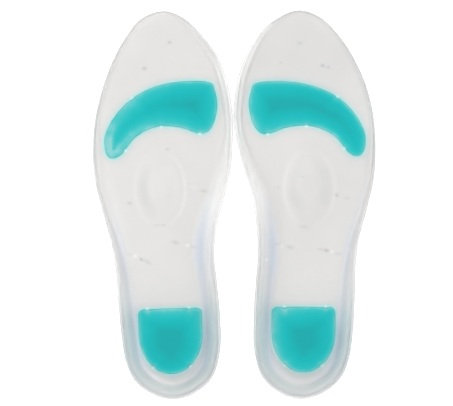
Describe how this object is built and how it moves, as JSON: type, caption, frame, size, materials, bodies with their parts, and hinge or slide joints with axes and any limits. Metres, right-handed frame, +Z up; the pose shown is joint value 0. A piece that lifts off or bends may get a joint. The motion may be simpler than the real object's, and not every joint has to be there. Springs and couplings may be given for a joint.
{
  "type": "cushioned insole pair",
  "caption": "Matched left and right full-length clear gel insoles with a deep heel cup, arch flange, metatarsal dome and softer teal pads set in at the heel and forefoot.",
  "frame": {"origin": "under the middle of the pair, on the surface that the soles rest on", "axes": "+Y towards the toes, +X towards the right insole, +Z up"},
  "size_m": [0.1896, 0.2604, 0.02],
  "materials": {
    "clear_gel": "clear glossy silicone",
    "teal_gel": "satin soft silicone gel"
  },
  "bodies": {
    "left_rear": {"left_gel_rear": "clear_gel", "left_heel_insert": "teal_gel"},
    "left_toe": {"left_gel_toe": "clear_gel", "left_forefoot_insert": "teal_gel"},
    "right_rear": {"right_gel_rear": "clear_gel", "right_heel_insert": "teal_gel"},
    "right_toe": {"right_gel_toe": "clear_gel", "right_forefoot_insert": "teal_gel"}
  },
  "joints": [
    {"name": "left_toe_flex", "type": "hinge", "parent": "left_rear", "child": "left_toe", "pos_m": [-0.04855, 0.03565, 0.007], "axis": [0.9622, 0.2725, 0], "range_deg": [0, 40], "stiffness_Nm_per_rad": 0.3},
    {"name": "right_toe_flex", "type": "hinge", "parent": "right_rear", "child": "right_toe", "pos_m": [0.04827, 0.03619, 0.007], "axis": [0.9708, -0.2401, 0], "range_deg": [0, 40], "stiffness_Nm_per_rad": 0.3},
    {"name": "insoles_apart", "type": "slide", "parent": "left_rear", "child": "right_rear", "axis": [1, 0, 0], "range_m": [0, 0.12]}
  ]
}
